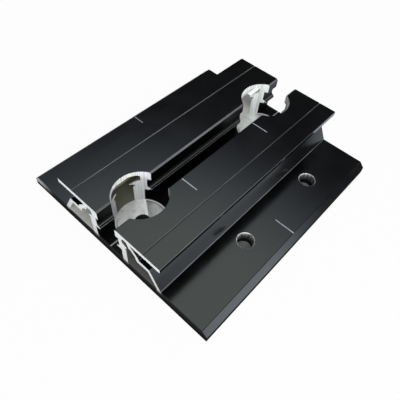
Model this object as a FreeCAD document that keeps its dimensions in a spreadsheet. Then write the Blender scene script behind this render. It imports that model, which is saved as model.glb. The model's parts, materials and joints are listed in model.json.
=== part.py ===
import FreeCAD, Part
import os
import Sketcher

# Roof mount base: an aluminium extrusion with two hollow rails and a slotted
# channel between them, and the sealing pad that is bonded under its plate.
#
# X runs across the rails, Y along them and Z up. The origin is the middle of
# the pad's underside, which lies on the roof. All sizes are millimetres.

# Driving sizes
SIZES = {
    # The plate and the pad
    "length": (100.0, "length of the extrusion and the pad, along the rails"),
    "plate_width": (91.0, "width of the plate and the pad, across the rails"),
    "plate_thickness": (3.2, "thickness of the aluminium plate"),
    "edge_chamfer": (2.2, "45 degree chamfer along the two long edges"),
    "pad_thickness": (2.2, "thickness of the sealing pad"),
    # The channel and slot between the rails
    "slot_width": (8.7, "gap between the two flanges, and between the lips"),
    "channel_width": (13.3, "width of the channel between the web feet"),
    "channel_height": (5.7, "plate top to the underside of the lips"),
    "lip_tip": (0.7, "height of the face at the tip of a lip"),
    "lip_rise": (1.2, "height that a lip's sloping top climbs to the web"),
    "notch_height": (4.0, "open height between a lip and the hook above it"),
    "hook_width": (1.4, "overhang of a hook beyond the upper web"),
    "hook_depth": (4.1, "flange top to the underside of the hook"),
    # The flanges
    "flange_width": (20.5, "width of one flange"),
    "flange_thickness": (1.9, "thickness of a flange"),
    "flange_bevel": (0.6, "bevel along the slot edge of a flange"),
    "flange_groove_place": (13.0, "slot edge to the middle of a flange's groove"),
    "groove_width": (0.5, "width of a sighting groove"),
    "groove_depth": (0.3, "depth of a sighting groove"),
    # The web and its spur
    "web_thickness": (1.7, "thickness of the upper web"),
    "web_foot_thickness": (2.4, "thickness of the lower web"),
    "web_spur_drop": (2.7, "flange underside to the root of the web's spur"),
    "web_spur_fall": (0.9, "height that the spur's top falls to its tip"),
    "web_spur_tip": (0.6, "height of the spur's tip"),
    "web_spur_reach": (0.45, "reach of the spur past the lower web"),
    "web_undercut": (0.4, "depth of the hollow under the web's spur"),
    "web_undercut_height": (0.9, "height of each side of that hollow"),
    # The roof of the chamber, which falls away at 45 degrees
    "ceiling_width": (2.25, "width of the chamber under the flange"),
    "ceiling_cove": (0.7, "45 degree cove at the top of the chamber"),
    "roof_crest": (1.5, "thickness of the sloping roof where it leaves the flange"),
    "roof_wall": (2.3, "thickness of the sloping roof, measured across"),
    "roof_run": (3.7, "fall and run of the sloping roof"),
    "roof_spur_place": (1.4, "fall of the roof to the near side of its spur"),
    "roof_spur_base": (1.0, "fall of the roof across its spur"),
    "roof_spur_tip": (0.3, "width of the spur's tip"),
    "roof_spur_reach": (1.35, "drop from the near side of the spur to its tip"),
    "roof_step": (1.2, "step from the end of the roof down to the shoulder"),
    "roof_step_lean": (0.3, "lean of that step"),
    # The shoulder and the outer wall
    "shoulder_width": (4.75, "width of the level shoulder"),
    "shoulder_wall": (1.95, "thickness of the shoulder"),
    "nose_inset": (0.9, "shoulder's root to the nose of its ceiling"),
    "nose_width": (0.55, "width of the nose's sloping side"),
    "nose_height": (0.75, "height of the nose's sloping side"),
    "outer_wall": (1.8, "thickness of the outer wall, measured across"),
    "floor_recess": (0.5, "depth of the chamber and pocket floors in the plate"),
    "outside_round": (0.8, "radius along the outside of the shoulder"),
    "inside_round": (0.5, "radius along the corners inside the rails"),
    # The round pockets that let a bolt head into the channel
    "pocket_diameter": (20.0, "diameter of a milled pocket"),
    "pocket_spacing": (70.0, "distance between the two pockets"),
    # The screw holes
    "screw_bore": (6.0, "diameter of a screw hole"),
    "screw_rim": (6.8, "diameter of the countersunk rim of a hole in the strips"),
    "screw_row": (32.5, "middle of the plate to a row of screw holes"),
    "screw_pitch": (40.0, "distance between the two holes of a row"),
    "screw_lead": (35.0, "plate end to the nearest hole of a row"),
    # The scribed marks
    "mark_width": (0.4, "width of a scribed mark"),
    "mark_depth": (0.15, "depth of a scribed mark"),
    "mark_spacing": (40.0, "distance between the two marks on a flange"),
    "flange_mark_length": (7.3, "length of a mark on a flange"),
    "plate_mark_length": (8.4, "length of a mark on the plate"),
}
HALF_TURN_COUNT = 2
RIM_ANGLE = 90.0
MATCH = 1e-4


class Size:
    """A length: its number, and the text that ties it to the sheet."""

    def __init__(self, value, text):
        self.value = value
        self.text = text

    def __add__(self, other):
        return Size(self.value + other.value, f"({self.text} + {other.text})")

    def __sub__(self, other):
        return Size(self.value - other.value, f"({self.text} - {other.text})")

    def __mul__(self, other):
        return Size(self.value * other.value, f"({self.text} * {other.text})")

    def __truediv__(self, other):
        return Size(self.value / other.value, f"({self.text} / {other.text})")

    def __neg__(self):
        return Size(-self.value, f"(-{self.text})")


NONE = Size(0.0, "0")
TWO = Size(2.0, "2")


class Sizes:
    """The driving sizes, and the levels and faces that follow from them."""

    def __init__(self, sheet):
        for row, (name, (value, note)) in enumerate(SIZES.items(), start=1):
            sheet.set(f"A{row}", name)
            sheet.set(f"B{row}", str(value))
            sheet.set(f"C{row}", note)
            sheet.setAlias(f"B{row}", name)
            setattr(self, name, Size(value, f"{sheet.Name}.{name}"))
        self.find_levels()
        self.find_faces()

    def find_levels(self):
        """Heights above the pad's underside."""
        self.plate_bottom = self.pad_thickness
        self.plate_top = self.plate_bottom + self.plate_thickness
        self.chamfer_foot = self.plate_top - self.edge_chamfer
        self.chamber_floor = self.plate_top - self.floor_recess
        self.lip_underside = self.plate_top + self.channel_height
        self.lip_tip_top = self.lip_underside + self.lip_tip
        self.lip_root = self.lip_tip_top + self.lip_rise
        self.hook_underside = self.lip_root + self.notch_height
        self.flange_top = self.hook_underside + self.hook_depth
        self.ceiling = self.flange_top - self.flange_thickness
        self.roof_foot = self.ceiling - self.roof_run
        self.shoulder_top = self.roof_foot - self.roof_step
        self.shoulder_ceiling = self.shoulder_top - self.shoulder_wall

    def find_faces(self):
        """Distances from the middle of the slot, out along +X."""
        self.plate_edge = self.plate_width / TWO
        self.chamfer_top = self.plate_edge - self.edge_chamfer
        self.slot_edge = self.slot_width / TWO
        self.channel_edge = self.channel_width / TWO
        self.upper_web = self.slot_edge + self.hook_width
        self.chamber_top_edge = self.upper_web + self.web_thickness
        self.chamber_edge = self.channel_edge + self.web_foot_thickness
        self.web_spur_end = self.chamber_edge + self.web_spur_reach
        self.ceiling_end = self.chamber_top_edge + self.ceiling_width
        self.roof_start = self.ceiling_end + self.roof_crest
        self.roof_end = self.roof_start + self.roof_run
        self.shoulder_start = self.roof_end + self.roof_step_lean
        self.shoulder_end = self.shoulder_start + self.shoulder_width
        self.flange_end = self.slot_edge + self.flange_width
        self.groove_middle = self.slot_edge + self.flange_groove_place
        self.nose = self.shoulder_start - self.nose_inset

    def under_roof(self, fall):
        """A point of the sloping roof's inner face, at a fall from the ceiling."""
        return (self.roof_start - self.roof_wall + fall, self.ceiling - fall)

    def outer_wall_at(self, level):
        """How far out the leaning outer wall's outer face stands at a level."""
        lean = (self.flange_end - self.shoulder_end) / (self.shoulder_top - self.plate_top)
        return self.flange_end - lean * (level - self.plate_top)


# Sketches
def origin_plane(body, role):
    """One of a body's own origin planes or axes, found by its role."""
    for feature in body.Origin.OriginFeatures:
        if feature.Role == role:
            return feature
    raise ValueError(f"{body.Name} has no {role}")


def new_sketch(body, name, role, level=NONE):
    """A sketch on a body's origin plane, raised to a level."""
    sketch = body.newObject("Sketcher::SketchObject", name)
    sketch.AttachmentSupport = [(origin_plane(body, role), "")]
    sketch.MapMode = "FlatFace"
    sketch.AttachmentOffset = FreeCAD.Placement(
        FreeCAD.Vector(0, 0, level.value), FreeCAD.Rotation()
    )
    if level is not NONE:
        sketch.setExpression("AttachmentOffset.Base.z", level.text)
    return sketch


def tie(sketch, kind, size, *ends):
    """Adds one dimension and binds it to the sheet."""
    index = sketch.addConstraint(Sketcher.Constraint(kind, *ends, size.value))
    sketch.setExpression(f"Constraints[{index}]", size.text)


def tie_point(sketch, geometry, point, place):
    """Holds a point at its distances from the sketch's own axes."""
    across, up = place
    if across is NONE:
        sketch.addConstraint(Sketcher.Constraint("PointOnObject", geometry, point, -2))
    else:
        tie(sketch, "DistanceX", across, -1, 1, geometry, point)
    if up is NONE:
        sketch.addConstraint(Sketcher.Constraint("PointOnObject", geometry, point, -1))
    else:
        tie(sketch, "DistanceY", up, -1, 1, geometry, point)


def draw_outline(sketch, corners):
    """A closed outline of straight lines through named corners."""
    first = sketch.GeometryCount
    vectors = [FreeCAD.Vector(across.value, up.value, 0) for across, up in corners]
    following = vectors[1:] + vectors[:1]
    lines = [Part.LineSegment(start, end) for start, end in zip(vectors, following)]
    sketch.addGeometry(lines, False)
    count = len(corners)
    joins = []
    for place in range(count):
        after = first + (place + 1) % count
        joins.append(Sketcher.Constraint("Coincident", first + place, 2, after, 1))
    sketch.addConstraint(joins)
    for place, corner in enumerate(corners):
        tie_point(sketch, first + place, 1, corner)


def draw_circle(sketch, centre, diameter):
    """A circle of a bound diameter about a bound centre."""
    middle = FreeCAD.Vector(centre[0].value, centre[1].value, 0)
    upright = FreeCAD.Vector(0, 0, 1)
    index = sketch.addGeometry(Part.Circle(middle, upright, diameter.value / 2), False)
    tie_point(sketch, index, 3, centre)
    tie(sketch, "Diameter", diameter, index)


# The section of the extrusion, on its +X side
def section_outline(s):
    """The outside: from the middle of the plate's underside, round to its top."""
    half_groove = s.groove_width / TWO
    groove_bottom = s.flange_top - s.groove_depth
    return [
        (NONE, s.plate_bottom),
        (s.plate_edge, s.plate_bottom),
        (s.plate_edge, s.chamfer_foot),
        (s.chamfer_top, s.plate_top),
        (s.flange_end, s.plate_top),
        (s.shoulder_end, s.shoulder_top),
        (s.shoulder_start, s.shoulder_top),
        (s.roof_end, s.roof_foot),
        (s.roof_start, s.ceiling),
        (s.flange_end, s.ceiling),
        (s.flange_end, s.flange_top),
        (s.groove_middle + half_groove, s.flange_top),
        (s.groove_middle, groove_bottom),
        (s.groove_middle - half_groove, s.flange_top),
        (s.slot_edge + s.flange_bevel, s.flange_top),
        (s.slot_edge, s.flange_top - s.flange_bevel),
        (s.slot_edge, s.hook_underside),
        (s.upper_web, s.hook_underside),
        (s.upper_web, s.lip_root),
        (s.slot_edge, s.lip_tip_top),
        (s.slot_edge, s.lip_underside),
        (s.channel_edge, s.lip_underside),
        (s.channel_edge, s.plate_top),
        (half_groove, s.plate_top),
        (NONE, s.plate_top - s.groove_depth),
    ]


def chamber_outline(s):
    """The hollow of the rail: up the web, under the roof and down the wall."""
    spur_root = s.ceiling - s.web_spur_drop
    spur_tip_top = spur_root - s.web_spur_fall
    spur_tip_foot = spur_tip_top - s.web_spur_tip
    undercut_middle = spur_tip_foot - s.web_undercut_height
    undercut_foot = undercut_middle - s.web_undercut_height
    near_side = s.under_roof(s.roof_spur_place)
    far_side = s.under_roof(s.roof_spur_place + s.roof_spur_base)
    spur_lean = (s.roof_spur_base - s.roof_spur_tip) / TWO
    spur_near = near_side[0] + spur_lean
    spur_foot = near_side[1] - s.roof_spur_reach
    wall_top = s.outer_wall_at(s.shoulder_ceiling) - s.outer_wall
    return [
        (s.chamber_edge, s.chamber_floor),
        (s.chamber_edge, undercut_foot),
        (s.chamber_edge - s.web_undercut, undercut_middle),
        (s.web_spur_end, spur_tip_foot),
        (s.web_spur_end, spur_tip_top),
        (s.chamber_top_edge, spur_root),
        (s.chamber_top_edge, s.ceiling - s.ceiling_cove),
        (s.chamber_top_edge + s.ceiling_cove, s.ceiling),
        (s.ceiling_end, s.ceiling),
        near_side,
        (spur_near, spur_foot),
        (spur_near + s.roof_spur_tip, spur_foot),
        far_side,
        s.under_roof(s.roof_run + s.roof_step - s.roof_step_lean),
        (s.nose - s.nose_width, s.shoulder_ceiling + s.nose_height),
        (s.nose, s.shoulder_ceiling),
        (wall_top, s.shoulder_ceiling),
        (s.outer_wall_at(s.chamber_floor) - s.outer_wall, s.chamber_floor),
    ]


# Features
def new_pad(body, name, sketch, height, symmetric=False):
    pad = body.newObject("PartDesign::Pad", name)
    pad.Profile = sketch
    pad.SideType = "Symmetric" if symmetric else "One side"
    pad.Length = height.value
    pad.setExpression("Length", height.text)
    return pad


def mirror(body, name, feature, role):
    """A mirrored copy of a feature in one of the body's origin planes."""
    copy = body.newObject("PartDesign::Mirrored", name)
    copy.Originals = [feature]
    copy.MirrorPlane = (origin_plane(body, role), [""])
    body.Tip = copy
    return copy


def half_turn(body, name, feature):
    """A copy of a feature turned half round about the upright axis."""
    copy = body.newObject("PartDesign::PolarPattern", name)
    copy.Originals = [feature]
    copy.Axis = (origin_plane(body, "Z_Axis"), [""])
    copy.Angle = 360.0
    copy.Occurrences = HALF_TURN_COUNT
    body.Tip = copy
    return copy


def must_cut(doc, body, before, name):
    """Recomputes, and makes sure that a feature has taken metal away."""
    doc.recompute()
    if body.Shape.Volume >= before - MATCH:
        raise RuntimeError(f"{name} cut nothing")
    return body.Shape.Volume


def edges_along(shape, places):
    """The names of the edges that run along Y at the given places in the section."""
    names = []
    for number, edge in enumerate(shape.Edges, start=1):
        start = edge.Vertexes[0].Point
        end = edge.Vertexes[-1].Point
        for across, up in places:
            level = abs(start.z - up.value) < MATCH and abs(end.z - up.value) < MATCH
            near = abs(abs(start.x) - across.value) < MATCH
            if level and near and abs(start.x - end.x) < MATCH:
                names.append(f"Edge{number}")
    return names


def round_edges(doc, body, name, places, radius):
    """Rounds the edges along the rails at the given places, on both sides."""
    base = body.Tip
    names = edges_along(base.Shape, places)
    if len(names) != 2 * len(places):
        raise RuntimeError(f"{name} found {len(names)} edges")
    fillet = body.newObject("PartDesign::Fillet", name)
    fillet.Base = (base, names)
    fillet.Radius = radius.value
    fillet.setExpression("Radius", radius.text)
    body.Tip = fillet
    doc.recompute()


def drill(doc, body, name, sketch, s):
    """Plain holes through everything below the sketch."""
    hole = body.newObject("PartDesign::Hole", name)
    hole.Profile = sketch
    doc.recompute()
    hole.ThreadType = "None"
    hole.DepthType = "ThroughAll"
    hole.DrillPoint = "Flat"
    hole.Diameter = s.screw_bore.value
    hole.setExpression("Diameter", s.screw_bore.text)
    body.Tip = hole
    return hole


def sink_rims(hole, s):
    """A countersunk rim at the mouth of each hole."""
    hole.HoleCutType = "Countersink"
    hole.HoleCutCustomValues = True
    hole.HoleCutDiameter = s.screw_rim.value
    hole.setExpression("HoleCutDiameter", s.screw_rim.text)
    hole.HoleCutCountersinkAngle = RIM_ANGLE


# Pieces
def extrude_rails(doc, body, s):
    """The extruded bar: half its section, drawn along Y and mirrored."""
    sketch = new_sketch(body, "half_section", "XZ_Plane")
    draw_outline(sketch, section_outline(s))
    draw_outline(sketch, chamber_outline(s))
    half = new_pad(body, "half_extrusion", sketch, s.length, symmetric=True)
    mirror(body, "whole_extrusion", half, "YZ_Plane")
    doc.recompute()
    shoulder = [(s.shoulder_end, s.shoulder_top)]
    round_edges(doc, body, "shoulder_rounds", shoulder, s.outside_round)
    wall_top = s.outer_wall_at(s.shoulder_ceiling) - s.outer_wall
    inside = [
        (wall_top, s.shoulder_ceiling),
        (s.chamber_edge, s.chamber_floor),
        (s.shoulder_start, s.shoulder_top),
        (s.flange_end, s.plate_top),
    ]
    round_edges(doc, body, "inside_rounds", inside, s.inside_round)


def mill_pockets(doc, body, s):
    """The two round pockets, open from the chamber floor level upwards."""
    before = body.Shape.Volume
    sketch = new_sketch(body, "pocket_circle", "XY_Plane", s.chamber_floor)
    draw_circle(sketch, (NONE, -(s.pocket_spacing / TWO)), s.pocket_diameter)
    pocket = body.newObject("PartDesign::Pocket", "front_pocket")
    pocket.Profile = sketch
    pocket.Type = "ThroughAll"
    pocket.Reversed = True
    body.Tip = pocket
    before = must_cut(doc, body, before, "front pocket")
    mirror(body, "both_pockets", pocket, "XZ_Plane")
    must_cut(doc, body, before, "rear pocket")


def strip_hole_places(s):
    """The right row of screw holes. The left row is this one turned half round."""
    near = s.screw_lead - s.length / TWO
    return [(s.screw_row, near), (s.screw_row, near + s.screw_pitch)]


def pocket_hole_place(s):
    return (NONE, -(s.pocket_spacing / TWO))


def drill_holes(doc, body, s):
    """Four countersunk holes in the plate's strips, and a plain one in each pocket."""
    before = body.Shape.Volume
    strip = new_sketch(body, "strip_hole_circles", "XY_Plane", s.plate_top)
    for place in strip_hole_places(s):
        draw_circle(strip, place, s.screw_bore)
    right_holes = drill(doc, body, "right_strip_holes", strip, s)
    sink_rims(right_holes, s)
    before = must_cut(doc, body, before, "right strip holes")
    half_turn(body, "strip_holes", right_holes)
    before = must_cut(doc, body, before, "left strip holes")
    floor = new_sketch(body, "floor_hole_circle", "XY_Plane", s.chamber_floor)
    draw_circle(floor, pocket_hole_place(s), s.screw_bore)
    front_hole = drill(doc, body, "front_floor_hole", floor, s)
    before = must_cut(doc, body, before, "front floor hole")
    mirror(body, "floor_holes", front_hole, "XZ_Plane")
    must_cut(doc, body, before, "rear floor hole")


def cut_marks(doc, body, name, level, outlines, s):
    """Shallow scribed marks, cut down from a level."""
    before = body.Shape.Volume
    sketch = new_sketch(body, f"{name}_outlines", "XY_Plane", level)
    for corners in outlines:
        draw_outline(sketch, corners)
    marks = body.newObject("PartDesign::Pocket", name)
    marks.Profile = sketch
    marks.Length = s.mark_depth.value
    marks.setExpression("Length", s.mark_depth.text)
    body.Tip = marks
    must_cut(doc, body, before, name)
    return marks


def mark_outline(s, start, end, middle):
    """A thin rectangle across the rails, from one side to another."""
    half = s.mark_width / TWO
    low = middle - half
    high = middle + half
    return [(start, low), (end, low), (end, high), (start, high)]


def scribe(doc, body, s):
    """Two marks on the right flange, and one on each strip of the plate."""
    start = s.slot_edge + s.flange_bevel
    end = start + s.flange_mark_length
    station = s.mark_spacing / TWO
    flange = [
        mark_outline(s, start, end, station),
        mark_outline(s, start, end, -station),
    ]
    cut_marks(doc, body, "flange_marks", s.flange_top, flange, s)
    plate_start = s.chamfer_top - s.plate_mark_length
    plate = [mark_outline(s, plate_start, s.chamfer_top, NONE)]
    mark = cut_marks(doc, body, "right_plate_mark", s.plate_top, plate, s)
    before = body.Shape.Volume
    mirror(body, "plate_marks", mark, "YZ_Plane")
    must_cut(doc, body, before, "left plate mark")


def make_mount_base(doc, s):
    body = doc.addObject("PartDesign::Body", "mount_base")
    body.Label = "mount_base"
    extrude_rails(doc, body, s)
    mill_pockets(doc, body, s)
    drill_holes(doc, body, s)
    scribe(doc, body, s)
    return body


def make_sealing_pad(doc, s):
    """The pad: a flat sheet as large as the plate, with the same six holes."""
    body = doc.addObject("PartDesign::Body", "sealing_pad")
    body.Label = "sealing_pad"
    sketch = new_sketch(body, "pad_outline", "XY_Plane")
    end = s.length / TWO
    corners = [
        (-s.plate_edge, -end),
        (s.plate_edge, -end),
        (s.plate_edge, end),
        (-s.plate_edge, end),
    ]
    draw_outline(sketch, corners)
    across, along = pocket_hole_place(s)
    places = [(across, along), (across, -along)]
    for across, along in strip_hole_places(s):
        places.append((across, along))
        places.append((-across, -along))
    for place in places:
        draw_circle(sketch, place, s.screw_bore)
    new_pad(body, "pad_sheet", sketch, s.pad_thickness)
    doc.recompute()
    return body


def check(doc, bodies):
    """Stops before anything is written if an object failed."""
    for item in doc.Objects:
        if "Invalid" in item.State or "Error" in item.State:
            raise RuntimeError(f"{item.Label} is {item.State}")
    for body in bodies:
        shape = body.Shape
        if shape.isNull() or not shape.isValid() or len(shape.Solids) != 1:
            raise RuntimeError(f"{body.Label} has no sound shape")


def main():
    doc = FreeCAD.newDocument("roof_mount_base")
    sheet = doc.addObject("Spreadsheet::Sheet", "sizes")
    sizes = Sizes(sheet)
    doc.recompute()
    bodies = [make_mount_base(doc, sizes), make_sealing_pad(doc, sizes)]
    doc.recompute()
    check(doc, bodies)
    os.makedirs("parts", exist_ok=True)
    for body in bodies:
        body.Shape.exportStep(f"parts/{body.Label}.step")
        print(f"{body.Label}: {body.Shape.Volume / 1000:.2f} cm3")


main()
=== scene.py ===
import json
import math

import bmesh
import bpy
from bpy.props import FloatProperty, FloatVectorProperty, PointerProperty
from mathutils import Matrix, Vector


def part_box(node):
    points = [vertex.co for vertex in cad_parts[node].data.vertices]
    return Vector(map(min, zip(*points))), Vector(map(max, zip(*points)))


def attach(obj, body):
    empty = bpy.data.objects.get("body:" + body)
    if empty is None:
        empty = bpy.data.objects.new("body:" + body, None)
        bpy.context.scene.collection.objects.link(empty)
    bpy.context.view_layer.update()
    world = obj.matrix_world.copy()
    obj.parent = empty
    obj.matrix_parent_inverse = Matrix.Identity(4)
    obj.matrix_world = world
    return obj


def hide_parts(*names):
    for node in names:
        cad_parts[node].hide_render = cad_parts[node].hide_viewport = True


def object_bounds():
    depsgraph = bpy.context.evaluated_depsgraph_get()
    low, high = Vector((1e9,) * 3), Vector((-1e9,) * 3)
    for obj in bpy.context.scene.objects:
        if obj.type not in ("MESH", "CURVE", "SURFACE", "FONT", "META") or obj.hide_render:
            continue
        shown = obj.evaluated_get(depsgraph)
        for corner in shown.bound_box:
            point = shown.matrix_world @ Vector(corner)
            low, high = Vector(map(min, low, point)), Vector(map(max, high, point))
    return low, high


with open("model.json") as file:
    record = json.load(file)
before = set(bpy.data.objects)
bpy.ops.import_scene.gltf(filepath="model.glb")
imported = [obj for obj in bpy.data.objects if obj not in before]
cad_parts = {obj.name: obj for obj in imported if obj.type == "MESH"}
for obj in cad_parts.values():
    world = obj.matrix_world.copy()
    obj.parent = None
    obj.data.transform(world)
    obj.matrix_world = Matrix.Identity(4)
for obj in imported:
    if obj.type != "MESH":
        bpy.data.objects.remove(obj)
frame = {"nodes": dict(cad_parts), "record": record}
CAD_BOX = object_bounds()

bl_info = {
    "name": "Roof mount base",
    "version": (1, 0, 0),
    "blender": (4, 5, 0),
    "location": "3D View > Sidebar > Roof mount",
    "description": "Dresses the extruded roof mount base and its sealing pad, and lights them",
    "category": "Object",
}

# The base's finishes, in the order of its material slots. Some paint light and shade on the skin:
# lighter skin as a painted highlight, dead black skin as painted shade, and a bare grey as a painted
# highlight in the channel
FINISHES = (
    "anodised", "sawn_end", "plate_end", "milled_wall", "chamber_floor", "chamber_wall",
    "hole_wall", "hole_rim", "scribed", "die_line", "channel_skin", "pilot_wall",
    "milled_step", "rubbed",
)

# Cut faces that look the same all over
CUT_FACES = {
    "sawn_end": {
        "stretch": (0.02, 1.0, 1.0),
        "scale": 3500.0,
        "roughness": (0.46, 0.33),
        "tint": (1.09, 1.09, 1.09),
        "metallic": 0.15,
    },
    "scribed": {
        "stretch": (0.05, 1.0, 1.0),
        "scale": 4000.0,
        "roughness": (0.53, 0.40),
        "tint": (0.62, 0.64, 0.74),
        "metallic": 0.5,
    },
    "milled_step": {
        "stretch": (1.0, 1.0, 0.05),
        "scale": 2500.0,
        "roughness": (0.38, 0.25),
        "tint": (1.09, 1.09, 1.09),
        "metallic": 0.85,
    },
}

# What tells the base's faces and edges apart: lengths, parts of a normal, angles and an area
MILLIMETRE = 0.001
NEAR = 2e-5
MERGE_REACH = 1e-6
CUT_REACH = 1e-7
RIM_REACH = 0.0005
LONG_EDGE = 0.005
NARROW_STRIP = 0.00045
SQUARELY = 0.99
UPRIGHT = 0.01
PARALLEL = 0.999
LOOKS_LEFT = -0.6
RIM_SLANT = (0.5, 0.9)
CHAMFER_SLANT = (0.3, 0.9)
FLAT_TURN = math.radians(0.4)
SMOOTH_TURN = math.radians(28)
BLUNT_TURNS = (math.radians(44), math.radians(46))
SHARP_TURNS = (math.radians(48), math.pi)
CURVED_FACE = 30e-6

# Where the finishes change over a face, in metres, and where light and shade are painted: shade low on
# the front pocket's wall and on the right-hand walls, shade and light inside the rails, a highlight
# line in the channel, shade down the holes and towards the bottom of the bright patches under the
# rails' feet, and a highlight at the plate end's left corner
FRONT_TO_REAR = (-0.02, 0.02)
RAIL_TO_RAIL = (-0.01, 0.01)
WALL_TO_WALL = (-0.002, 0.002)
POCKET_LEFT_TO_MIDDLE = (-0.012, -0.007)
MOUTH_START = (0.041, 0.047)
WALL_SHADE_TOP = (0.0130, 0.0200)
WEB_SIDE = (0.0085, 0.0095)
HIGHLIGHT_LINE_PLACE = (0.0050, 0.01234)
HIGHLIGHT_LINE_EDGE = (0.00012, 0.0002)
RIM_RING = (0.00014, 0.00006)
RIM_SHADE = (0.0026, 0.0006)
WEB_FOOT = 0.0078
WEB_FOOT_EDGE = (0.0008, 0.0018)
WALL_FOOT = 0.0240
WALL_FOOT_EDGE = (0.0006, 0.0014)
FOOT_SHADE_FADE = (0.0034, 0.0054)
LEFT_CORNER_HIGHLIGHT = (-0.0452, -0.0330)

# The marks of the cutter on the pockets' floors, in metres, and the front pocket's painted highlight
# streak with painted shade behind it, and each pocket's painted highlight at the rim with a ring of
# painted shade inside it
RING_STEP = 0.00035
HIGHLIGHT_STREAK_PLACE = (-0.00678, -0.02779)
HIGHLIGHT_STREAK_WAY = (0.585, 0.811)
HIGHLIGHT_STREAK_EDGE = (0.00035, 0.0007)
SHADE_BEHIND_STREAK = (0.0006, 0.0045)
AHEAD_OF_STREAK = (-0.0003, 0.0002)
HIGHLIGHT_RIM = (0.00955, 0.00975)
SHADE_RING = 0.0092
SHADE_RING_EDGE = (0.0001, 0.0004)

# How deep marks show as relief, in metres
TOOL_DEPTH = 0.00002
DRAWN_DEPTH = 0.00003
SKIN_DEPTH = 0.00004
RUBBER_DEPTH = 0.00008

# The noise's values in the hollows and on the crests of its marks
MARK_RANGE = (0.3, 0.7)

# Sockets of a mix node: its two colours, and its result
MIX_COLOURS = (6, 7)
MIX_RESULT = 2

# The studio's two panels: bearing and rise of each middle, then soft edges
OVERHEAD_PLACE = (math.radians(143.8), math.radians(77.4))
OVERHEAD_EDGE = (math.radians(19.0), math.radians(35.8))
RIGHT_PLACE = (math.radians(28.5), math.radians(20))
RIGHT_LEAN = math.radians(27)
RIGHT_WIDTH = (0.18, 0.07)
RIGHT_HEIGHT = (0.44, 0.06)
LEAST_AHEAD = 0.05

# How bright the room between the panels is in gloss
ROOM_GLOSS = 0.04

# The floor: its size, what is dark of it in gloss (a sector of bearings, and a painted shadow in a
# strip around the base), and how its white fades in
FLOOR_HALF = 3.0
FLOOR_TUCK = 0.001
DARK_BEARINGS = (math.radians(40), math.radians(52.5))
BEARING_FADE = 0.05
GLOSS_SHADOW_STRIP = (0.003, 0.008)
PAPER_FADE = (0.15, 0.6)
PAPER_NEAR = 0.95

# The softboxes: name, place, width and the setting of their power
LAMPS = (
    ("key_softbox", (0.36, -0.56, 0.55), 0.8, "key_watts"),
    ("side_softbox", (0.777, -0.165, 0.42), 0.6, "side_watts"),
    ("rear_softbox", (0.27, 0.84, 0.13), 0.5, "rear_watts"),
)
LAMP_AIM = (0.0, 0.0, 0.01)

# The photograph's view
VIEW_PLACE = (0.06584, -0.086203, 0.130785)
VIEW_RIGHT = (0.7351, 0.67553, 0.05738)
VIEW_BACK = (0.36693, -0.46759, 0.80419)
VIEW_LENS = 36.606
VIEW_SENSOR = 36.0
VIEW_CLIP = (0.01, 20.0)


# Sizes and colours that a user would change
def number_setting(name, description, default, **kind):
    return FloatProperty(name=name, description=description, default=default, min=0.0, **kind)


def length_setting(name, description, default):
    return number_setting(name, description, default, unit="LENGTH")


def share_setting(name, description, default):
    return number_setting(name, description, default, max=1.0, subtype="FACTOR")


def power_setting(name, description, default):
    return number_setting(name, description, default, unit="POWER")


def colour_setting(name, description, default):
    return FloatVectorProperty(
        name=name, description=description, default=default, subtype="COLOR", min=0.0, max=1.0
    )


class BaseShape(bpy.types.PropertyGroup):
    """Places on the extrusion that the finishes start and stop at."""

    plate_top: length_setting("Plate top", "Height of the plate's top face", 0.0054)
    chamber_floor: length_setting("Chamber floor", "Height of the milled and hollow floors", 0.0049)
    shoulder_ceiling: length_setting(
        "Shoulder ceiling", "Height of the chamber's flat ceiling", 0.01235
    )
    pocket_radius: length_setting("Pocket radius", "Radius of a milled pocket", 0.01)
    pocket_place: length_setting("Pocket place", "Middle of the base to a pocket's middle", 0.035)
    hole_radius: length_setting("Hole radius", "Radius of a screw hole", 0.003)
    groove_half: length_setting(
        "Groove half", "Half the width of the groove in the channel's floor", 0.00026
    )
    groove_depth: length_setting(
        "Groove depth", "Depth down to which that groove's faces are looked for", 0.0003
    )
    channel_half: length_setting("Channel half", "Middle of the base to the channel's walls", 0.0067)
    # Below this height the channel's faces get the dead black finish of painted shade; above it the
    # chamfers get a painted highlight or painted shade by the way they face
    lip_top: length_setting("Lip top", "Height up to which the lips' tips are dead black", 0.0204)
    mark_depth: length_setting("Mark depth", "Depth of a scribed mark", 0.00015)
    wall_foot: length_setting("Wall foot", "Middle of the base to the leaning walls' feet", 0.0245)
    # The cove faces get the lighter skin of a painted highlight
    foot_cove: length_setting("Foot cove", "Height of the cove at a leaning wall's foot", 0.0003)
    edge_break: length_setting("Edge break", "Width of the broken edges", 0.0002)


class AnodisedFinish(bpy.types.PropertyGroup):
    """The black satin skin of the extrusion."""

    dye: colour_setting("Dye", "Colour of the dyed skin", (0.0010, 0.0011, 0.0013))
    thin_dye: colour_setting("Thin dye", "Colour where the dye is thinner", (0.0020, 0.0022, 0.0026))
    # A painted highlight: the lighter colour of the skin on broken edges, right-facing chamfers and the
    # walls' feet, and of the highlight line in the channel
    highlit: colour_setting("Worn", "Colour of the skin along its worn edges", (0.085, 0.087, 0.09))
    roughness: share_setting("Roughness", "Roughness of the etched skin", 0.17)


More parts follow.
